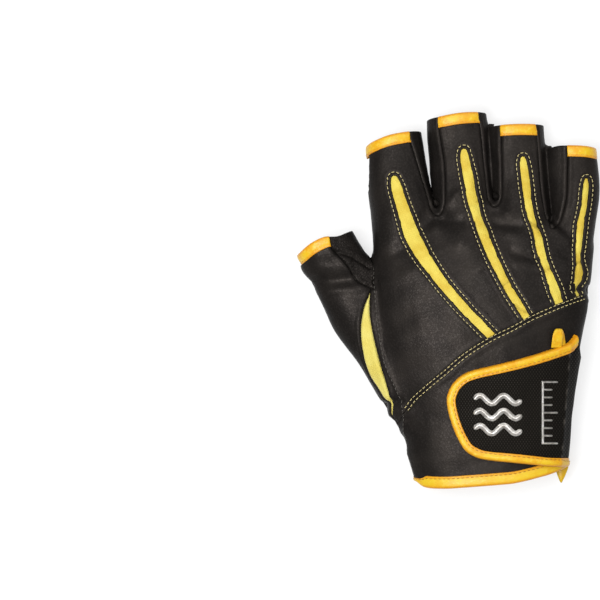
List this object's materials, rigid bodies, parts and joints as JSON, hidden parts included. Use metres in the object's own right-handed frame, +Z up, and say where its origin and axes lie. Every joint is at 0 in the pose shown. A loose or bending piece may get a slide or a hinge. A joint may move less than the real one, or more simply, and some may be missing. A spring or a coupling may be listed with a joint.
{
  "type": "fingerless fishing glove",
  "caption": "Right-hand fingerless fishing glove of dark synthetic leather with yellow stretch inserts, bound edges and a wrist strap, lying palm down.",
  "frame": {"origin": "on the plane that the palm rests on, under the middle of the hand", "axes": "+X towards the little finger, away from the thumb; +Y along the glove from the wrist to the fingertips; +Z up, out of the back of the hand"},
  "size_m": [0.1314, 0.1653, 0.035],
  "materials": {
    "back_leather": "matt dark grey-brown synthetic leather, fine pebbled grain",
    "palm_leather": "dark synthetic leather, finely embossed",
    "grip_leather": "dark rubbery leather with raised round cells",
    "stretch_cloth": "matt yellow stretch cloth",
    "binding": "smooth orange-yellow binding tape",
    "strap_cloth": "black twill weave with a slight sheen",
    "silver_trim": "moulded soft plastic with a worn silver face"
  },
  "bodies": {
    "root": {"back_panel": "back_leather", "wrist_panel": "back_leather", "thumb_back": "back_leather", "gusset_index_middle": "back_leather", "gusset_middle_ring": "back_leather", "gusset_ring_little": "back_leather", "thumb_front": "palm_leather", "palm_fingers": "palm_leather", "palm_heel": "palm_leather", "palm_grip": "grip_leather", "stripe_index": "stretch_cloth", "stripe_middle": "stretch_cloth", "stripe_ring": "stretch_cloth", "stripe_little": "stretch_cloth", "thumb_gusset": "stretch_cloth", "trim_index": "binding", "trim_middle": "binding", "trim_ring": "binding", "trim_little": "binding", "trim_thumb": "binding", "cuff_binding": "binding", "strap_piping": "binding", "pull_loop": "binding", "cuff_corner": "binding", "wrist_strap": "strap_cloth", "strap_wave_1": "silver_trim", "strap_wave_2": "silver_trim", "strap_wave_3": "silver_trim", "strap_ruler": "silver_trim"}
  },
  "joints": []
}
